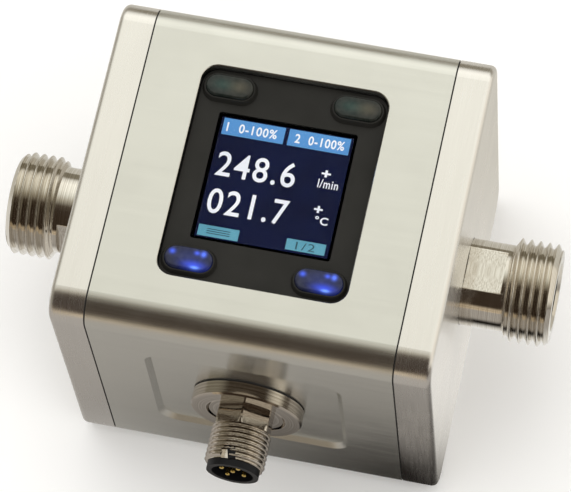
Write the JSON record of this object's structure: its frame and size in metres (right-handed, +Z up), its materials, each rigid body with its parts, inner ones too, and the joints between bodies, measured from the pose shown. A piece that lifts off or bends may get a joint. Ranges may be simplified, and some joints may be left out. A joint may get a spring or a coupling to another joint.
{
  "type": "digital flow meter",
  "caption": "Magnetic-inductive flow meter: brushed steel cube with a lit colour display, oval optical keys, threaded pipe fittings on two sides and a round plug connector below.",
  "frame": {"origin": "centre of the flat back face, below the flow axis and opposite the display", "axes": "+X along the flow, from inlet to outlet; +Z up, out of the display; -Y towards the plug connector"},
  "size_m": [0.111, 0.0826, 0.068],
  "materials": {
    "sleeve_steel": "stainless steel brushed along the flow",
    "cap_steel": "stainless steel, finely brushed, with a rounded polished rim",
    "fitting_steel": "turned stainless steel, bright",
    "screw_steel": "plain steel",
    "seal_rubber": "black fluororubber",
    "tube_plastic": "natural high-temperature plastic",
    "electrode_steel": "polished stainless steel",
    "magnet_iron": "soft iron",
    "bobbin_plastic": "glass-filled plastic, natural",
    "coil_copper": "enamelled copper winding",
    "board_laminate": "green circuit board",
    "component_black": "black moulded components",
    "lamp_plastic": "white lamp bodies",
    "screen": "colour display, lit",
    "pane_glass": "clear hard-coated pane",
    "front_plastic": "dark brown-black moulded front, semi-gloss",
    "key_clear": "smoked clear plastic, unlit",
    "key_lit": "smoked clear plastic lit blue from below",
    "connector_steel": "turned stainless steel",
    "connector_plastic": "black moulded insert",
    "contact_gold": "gold-plated contacts",
    "lead_film": "amber film lead"
  },
  "bodies": {
    "root": {"board_link": "component_black", "board_spacers": "screw_steel", "connector_flange": "connector_steel", "connector_gasket": "seal_rubber", "connector_insert": "connector_plastic", "connector_lead": "lead_film", "connector_locknut": "connector_steel", "connector_shell": "connector_steel", "contact_pins": "contact_gold", "display_board": "board_laminate", "display_board_screws": "screw_steel", "display_front": "front_plastic", "display_module": "screen", "display_pane": "pane_glass", "display_spacers": "screw_steel", "filter_capacitors": "component_black", "front_electrode": "electrode_steel", "front_electrode_seal": "seal_rubber", "housing_sleeve": "sleeve_steel", "inlet_cap_gasket": "seal_rubber", "inlet_cap_screws": "screw_steel", "inlet_end_cap": "cap_steel", "inlet_fitting": "fitting_steel", "inlet_flange_seal": "seal_rubber", "inlet_tube_seal": "seal_rubber", "key_lamps": "lamp_plastic", "lower_bobbin": "bobbin_plastic", "lower_coil": "coil_copper", "lower_left_key": "key_lit", "lower_pole": "magnet_iron", "lower_right_key": "key_lit", "magnet_yoke": "magnet_iron", "main_board": "board_laminate", "main_board_screws": "screw_steel", "main_processor": "component_black", "measuring_tube": "tube_plastic", "outlet_cap_gasket": "seal_rubber", "outlet_cap_screws": "screw_steel", "outlet_end_cap": "cap_steel", "outlet_fitting": "fitting_steel", "outlet_flange_seal": "seal_rubber", "outlet_tube_seal": "seal_rubber", "power_choke": "component_black", "probe_seal": "seal_rubber", "rear_electrode": "electrode_steel", "rear_electrode_seal": "seal_rubber", "temperature_probe": "electrode_steel", "tie_rods": "screw_steel", "upper_bobbin": "bobbin_plastic", "upper_coil": "coil_copper", "upper_left_key": "key_clear", "upper_pole": "magnet_iron", "upper_right_key": "key_clear", "window_gasket": "seal_rubber"}
  },
  "joints": []
}
